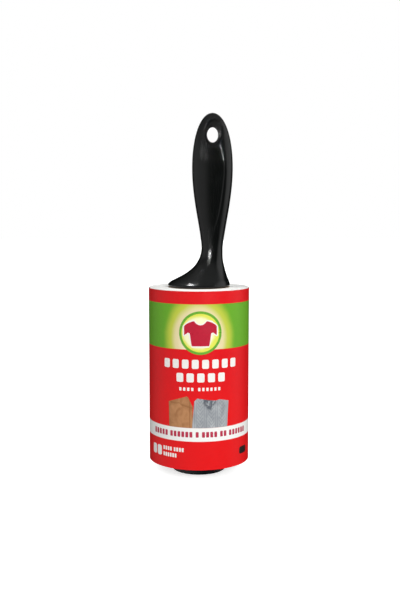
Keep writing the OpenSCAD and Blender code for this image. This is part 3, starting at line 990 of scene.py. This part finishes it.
for number in range(1, 7):
    paint(f"sheet_{number}", SHEET_WHITE)
for name in ("spindle", "barrel", "inner_hub", "outer_hub"):
    paint(name, BARREL_BLACK)
paint("end_cap", CAP_BLACK)
paint("core_tube", CORE_BOARD)

# ---------------------------------------------------------------- stage, light, camera


def floor():
    """Pale floor. Only the camera and shadows see it: the studio lights the object from below too."""
    half = 4000
    corners = [(-half, -half, 0), (half, -half, 0), (half, half, 0), (-half, half, 0)]
    obj = new_object("floor", corners, [(0, 1, 2, 3)])
    s = Shader("floor_pale", Specular_IOR_Level=0.0, Roughness=0.9)
    s.set(Base_Color=s.blend(s.noise(12, 4, 0.6), (0.80, 0.80, 0.80), (0.78, 0.78, 0.78)))
    s.set(Emission_Color=(1.0, 1.0, 1.0), Emission_Strength=0.62)
    obj.data.materials.append(s.mat)
    obj.visible_diffuse = obj.visible_glossy = False
    obj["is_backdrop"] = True


def aim(obj, place, target):
    """Adds a lamp to the scene, pointed from its place at the target."""
    obj.location = place
    obj.rotation_euler = (Vector(target) - Vector(place)).to_track_quat("-Z", "Y").to_euler()
    bpy.context.scene.collection.objects.link(obj)


def around(azimuth, elevation, far, target):
    """The place that far from the target, at that azimuth to the right of the front, in degrees."""
    a, e = math.radians(azimuth), math.radians(elevation)
    step = Vector((math.sin(a) * math.cos(e), -math.cos(a) * math.cos(e), math.sin(e)))
    return Vector(target) + step * far


def softbox(name, azimuth, elevation, target, size, power):
    """A square lamp a metre from its target, for shading only: it leaves no reflection."""
    data = bpy.data.lights.new(name, "AREA")
    data.shape, data.size, data.size_y, data.energy = "RECTANGLE", size, size, power
    obj = bpy.data.objects.new(name, data)
    obj.visible_glossy = False
    aim(obj, around(azimuth, elevation, 1.0, target), target)


def snoots(name, azimuths, elevations, target, cone, power, radius=None):
    """Bank of small hooded lamps for gloss only, each with a cone that is a few centimetres wide at most."""
    far = 0.9
    for azimuth in azimuths:
        for elevation in elevations:
            data = bpy.data.lights.new(f"{name}_{azimuth}_{elevation}", "SPOT")
            data.shadow_soft_size = radius or far * math.tan(math.radians(cone / 2))
            data.energy, data.spot_size, data.spot_blend = power, math.radians(cone), 0.3
            obj = bpy.data.objects.new(data.name, data)
            obj.visible_diffuse = False
            aim(obj, around(azimuth, elevation, far, target), target)


def world():
    """White backdrop. The studio round it is dim in front, paler to the sides and bright above."""
    studio = bpy.data.worlds.new("studio")
    studio.use_nodes = True
    w = Nodes(studio.node_tree, "Generated")
    x, y, z = w.axes()

    def level(source, low, high, to_low, to_high):
        return w.between(source, low, high, to_low, to_high, True)

    def times(a, b):
        return w.math("MULTIPLY", a, b)

    def background(strength):
        return w.feed(w.new("Background"), (1, 1, 1), strength)

    def choose(ray, a, b):
        return w.feed(w.new("MixShader"), path.outputs[ray], a, b)

    path = w.new("LightPath")
    # what falls on dull surfaces, brighter from above
    soft = background(level(z, -0.1, 0.9, 0.32, 1.4))
    # what gloss mirrors: a low pale patch on the left, a strip on the right, and the sky
    left = times(level(x, -0.95, 0.45, 0.42, 0.02), level(z, 0.25, 0.6, 1.0, 0.0))
    left = times(left, level(y, 0.0, 0.8, 1.0, 0.15))
    right = level(w.math("ADD", x, times(z, 0.24)), 0.82, 0.98, 0.0, 0.72)
    right = times(right, level(z, 0.45, 0.8, 1.0, 0.1))
    front = level(y, 0.4, 1.0, 1.0, 0.0)
    above = times(level(z, 0.3, 0.85, 0.0, 0.26), level(y, 0.2, 0.7, 1.0, 0.4))
    gloss = background(w.math("ADD", times(w.math("ADD", left, right), front), above))
    final = choose("Is Camera Ray", choose("Is Glossy Ray", soft, gloss), background(1.0))
    w.put(w.nodes["World Output"].inputs[0], final)
    bpy.context.scene.world = studio


floor()
world()
NECK = (0.003, 0, 0.125)
softbox("key_front", 22, 14, (0, 0, 0.08), 0.5, 6.4)
snoots("neck_spark", range(-31, -10, 5), (5, 9, 13, 17), NECK, 1.7, 1.2, 0.007)
snoots("neck_glow", (-26, -19, -12), (26, 34, 42), NECK, 1.7, 0.7, 0.007)
snoots("foot_spark", range(-90, -39, 10), (66, 70), (-0.004, -0.0165, 0.1103), 0.72, 1.2, 0.005)
snoots("crease_spark", (-20, -45), (-6, 6), (0.0116, -0.0055, 0.1890), 0.42, 26.0)
snoots("mouth_spark", (0, 20, 40), (8, 20), (0.0022, -0.0045, 0.1990), 0.6, 12.0)

# the camera that was fitted to the photograph: half a metre away, level with the grip and tilted down
CAMERA_X, CAMERA_Y, CAMERA_RISE = 0.000617, -0.5007, 0.14585
TILT, FOCAL = 5.951, 51.456
camera = bpy.data.cameras.new("camera")
camera.sensor_width, camera.lens = 36, FOCAL
camera.clip_start, camera.clip_end = 0.01, 20
viewer = bpy.data.objects.new("camera", camera)
viewer.location = (CAMERA_X, CAMERA_Y, ROLL_BOTTOM * MM + CAMERA_RISE)
viewer.rotation_euler = (math.radians(90 - TILT), 0, 0)
bpy.context.scene.collection.objects.link(viewer)
bpy.context.scene.camera = viewer
bpy.context.scene.view_settings.view_transform = "Standard"
